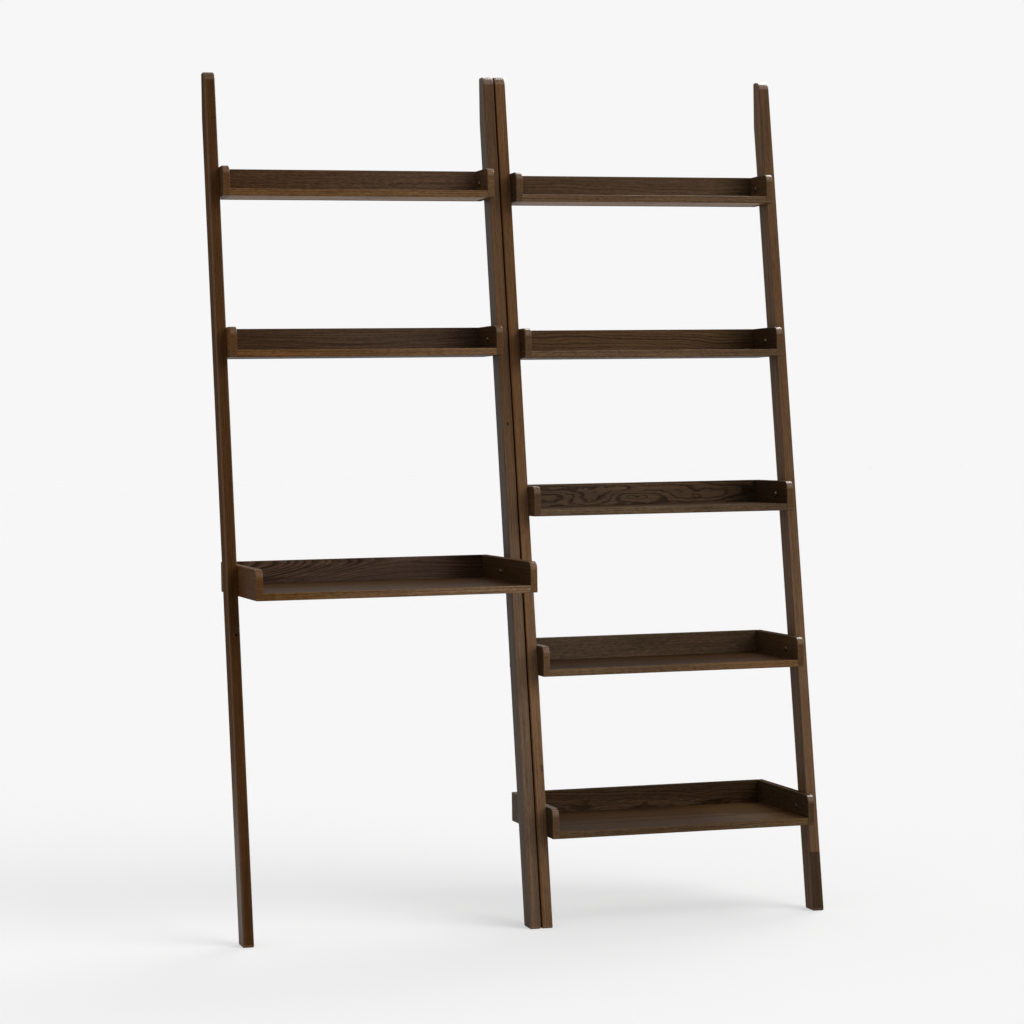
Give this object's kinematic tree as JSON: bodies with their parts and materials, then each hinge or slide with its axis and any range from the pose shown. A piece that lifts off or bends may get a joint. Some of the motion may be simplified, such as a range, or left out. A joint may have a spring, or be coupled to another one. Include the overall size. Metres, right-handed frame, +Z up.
{
  "type": "ladder desk",
  "caption": "Leaning ladder desk with a matching ladder bookcase beside it: open trays in dark stained wood between leaning rails that rest against a wall.",
  "frame": {"origin": "on the floor, at the middle of the pair's width and of its depth", "axes": "+X to the right, +Y towards the wall behind, +Z up"},
  "size_m": [1.331, 0.412, 1.9],
  "materials": {
    "stained_ash_rail": "dark walnut stain on ash with open pores, satin lacquer",
    "stained_ash_board": "dark walnut stain on ash-veneered boards with open pores, satin lacquer",
    "bolt_steel": "nickel-plated steel",
    "insert_brass": "plain turned brass",
    "beech_dowel": "raw fluted beech"
  },
  "bodies": {
    "root": {"bookcase_bolts": "bolt_steel", "bookcase_inserts": "insert_brass", "bookcase_left_rail": "stained_ash_rail", "bookcase_rail_pegs": "beech_dowel", "bookcase_right_rail": "stained_ash_rail", "bookcase_shelf_1_back": "stained_ash_board", "bookcase_shelf_1_board": "stained_ash_board", "bookcase_shelf_1_left_side": "stained_ash_board", "bookcase_shelf_1_right_side": "stained_ash_board", "bookcase_shelf_2_back": "stained_ash_board", "bookcase_shelf_2_board": "stained_ash_board", "bookcase_shelf_2_left_side": "stained_ash_board", "bookcase_shelf_2_right_side": "stained_ash_board", "bookcase_shelf_3_back": "stained_ash_board", "bookcase_shelf_3_board": "stained_ash_board", "bookcase_shelf_3_left_side": "stained_ash_board", "bookcase_shelf_3_right_side": "stained_ash_board", "bookcase_shelf_4_back": "stained_ash_board", "bookcase_shelf_4_board": "stained_ash_board", "bookcase_shelf_4_left_side": "stained_ash_board", "bookcase_shelf_4_right_side": "stained_ash_board", "bookcase_shelf_5_back": "stained_ash_board", "bookcase_shelf_5_board": "stained_ash_board", "bookcase_shelf_5_left_side": "stained_ash_board", "bookcase_shelf_5_right_side": "stained_ash_board", "bookcase_tray_dowels": "beech_dowel", "desk_unit_bolts": "bolt_steel", "desk_unit_inserts": "insert_brass", "desk_unit_left_rail": "stained_ash_rail", "desk_unit_rail_pegs": "beech_dowel", "desk_unit_right_rail": "stained_ash_rail", "desk_unit_second_shelf_back": "stained_ash_board", "desk_unit_second_shelf_board": "stained_ash_board", "desk_unit_second_shelf_left_side": "stained_ash_board", "desk_unit_second_shelf_right_side": "stained_ash_board", "desk_unit_top_shelf_back": "stained_ash_board", "desk_unit_top_shelf_board": "stained_ash_board", "desk_unit_top_shelf_left_side": "stained_ash_board", "desk_unit_top_shelf_right_side": "stained_ash_board", "desk_unit_tray_dowels": "beech_dowel", "desktop_back": "stained_ash_board", "desktop_board": "stained_ash_board", "desktop_left_side": "stained_ash_board", "desktop_right_side": "stained_ash_board"}
  },
  "joints": []
}
